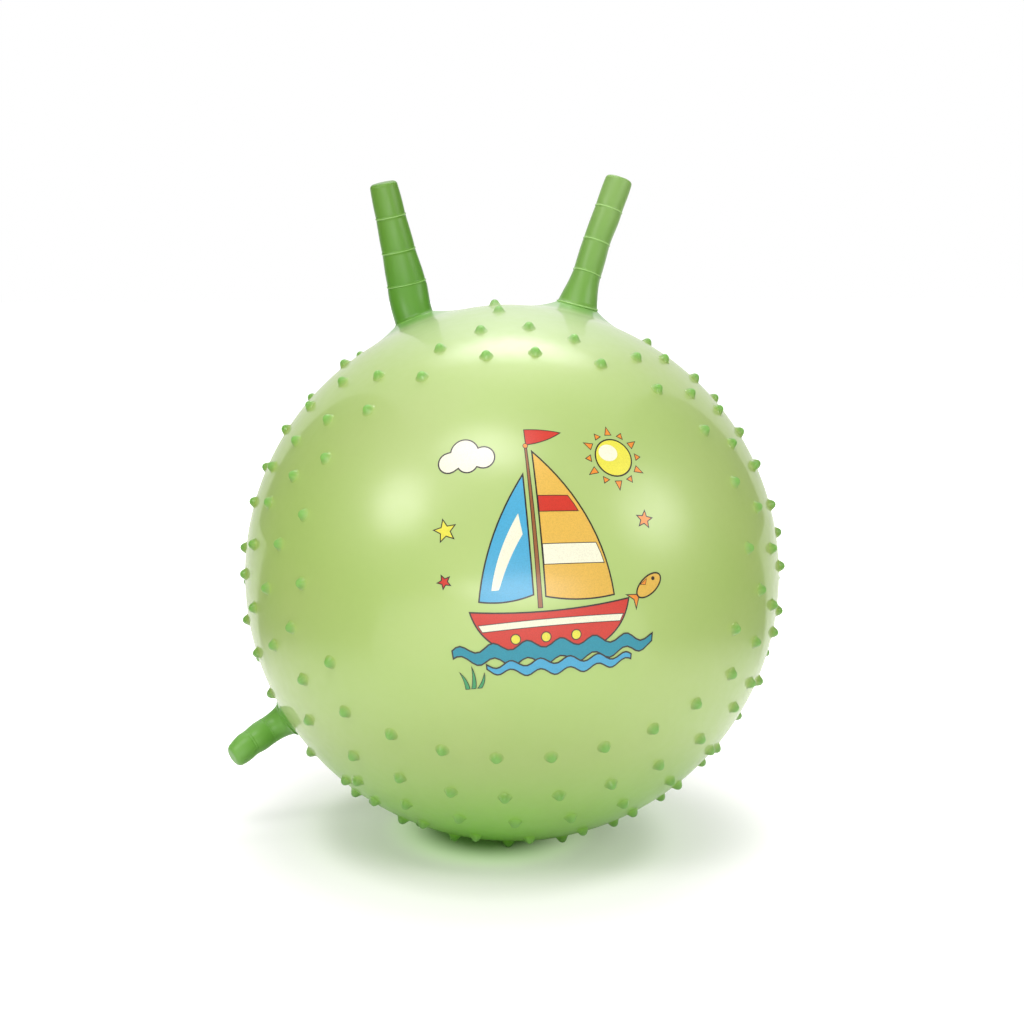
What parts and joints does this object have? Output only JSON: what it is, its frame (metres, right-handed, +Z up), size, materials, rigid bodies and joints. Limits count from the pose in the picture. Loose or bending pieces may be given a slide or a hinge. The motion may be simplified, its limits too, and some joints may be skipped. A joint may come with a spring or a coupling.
{
  "type": "hopper ball",
  "caption": "Inflated hopper ball with raised nubs round a printed front, ringed horns to hold at the top, a short tail horn low on one side and a plugged air valve at the back.",
  "frame": {"origin": "middle of the flat patch that the ball rests on, on the floor", "axes": "+Z up; -Y is the side of the printed front, which is tipped up; +X is the side away from the tail horn"},
  "size_m": [0.4743, 0.45, 0.5521],
  "materials": {
    "skin": "glossy pearlescent light green vinyl",
    "nubs": "glossy green vinyl",
    "horns": "satin green vinyl",
    "print": "printed ink in several colours under a clear gloss",
    "valve": "soft satin white plastic"
  },
  "bodies": {
    "ball": {"ball_skin": "skin", "front_side_nubs": "nubs", "front_low_nubs": "nubs", "back_side_nubs": "nubs", "back_low_nubs": "nubs", "edge_nubs": "nubs", "foot_nubs": "nubs", "valve_seat": "valve"},
    "left_horn_base": {"left_horn_root": "horns"},
    "left_horn_end": {"left_horn_grip": "horns"},
    "right_horn_base": {"right_horn_root": "horns"},
    "right_horn_end": {"right_horn_grip": "horns"},
    "tail_horn_base": {"tail_horn_root": "horns"},
    "tail_horn_end": {"tail_horn_grip": "horns"},
    "plug": {"valve_plug": "valve"}
  },
  "joints": [
    {"name": "left_horn_sway", "type": "hinge", "parent": "ball", "child": "left_horn_base", "pos_m": [-0.08592, 0.06393, 0.45286], "axis": [0, 0.9627, -0.2706], "range_deg": [-40, 40], "stiffness_Nm_per_rad": 0.6, "deforming": ["left_horn_root"]},
    {"name": "left_horn_pull", "type": "hinge", "parent": "left_horn_base", "child": "left_horn_end", "pos_m": [-0.08856, 0.06397, 0.46321], "axis": [0.9742, 0.061, 0.2171], "range_deg": [-40, 40], "stiffness_Nm_per_rad": 0.6, "deforming": ["left_horn_root"]},
    {"name": "right_horn_sway", "type": "hinge", "parent": "ball", "child": "right_horn_base", "pos_m": [0.06605, 0.06618, 0.45875], "axis": [0, 0.9627, -0.2706], "range_deg": [-40, 40], "stiffness_Nm_per_rad": 0.6, "deforming": ["right_horn_root"]},
    {"name": "right_horn_pull", "type": "hinge", "parent": "right_horn_base", "child": "right_horn_end", "pos_m": [0.06933, 0.0679, 0.46878], "axis": [0.9462, -0.0876, -0.3115], "range_deg": [-40, 40], "stiffness_Nm_per_rad": 0.6, "deforming": ["right_horn_root"]},
    {"name": "tail_horn_sway", "type": "hinge", "parent": "ball", "child": "tail_horn_base", "pos_m": [-0.2025, 0.0227, 0.08817], "axis": [0.2069, 0.968, -0.1419], "range_deg": [-30, 30], "stiffness_Nm_per_rad": 0.4, "deforming": ["tail_horn_root"]},
    {"name": "tail_horn_pull", "type": "hinge", "parent": "tail_horn_base", "child": "tail_horn_end", "pos_m": [-0.20813, 0.0206, 0.08504], "axis": [-0.5449, 0.2345, 0.8051], "range_deg": [-30, 30], "stiffness_Nm_per_rad": 0.4, "deforming": ["tail_horn_root"]},
    {"name": "valve_plug_pull", "type": "slide", "parent": "ball", "child": "plug", "axis": [0, 0.9627, -0.2706], "range_m": [0, 0.016]}
  ]
}
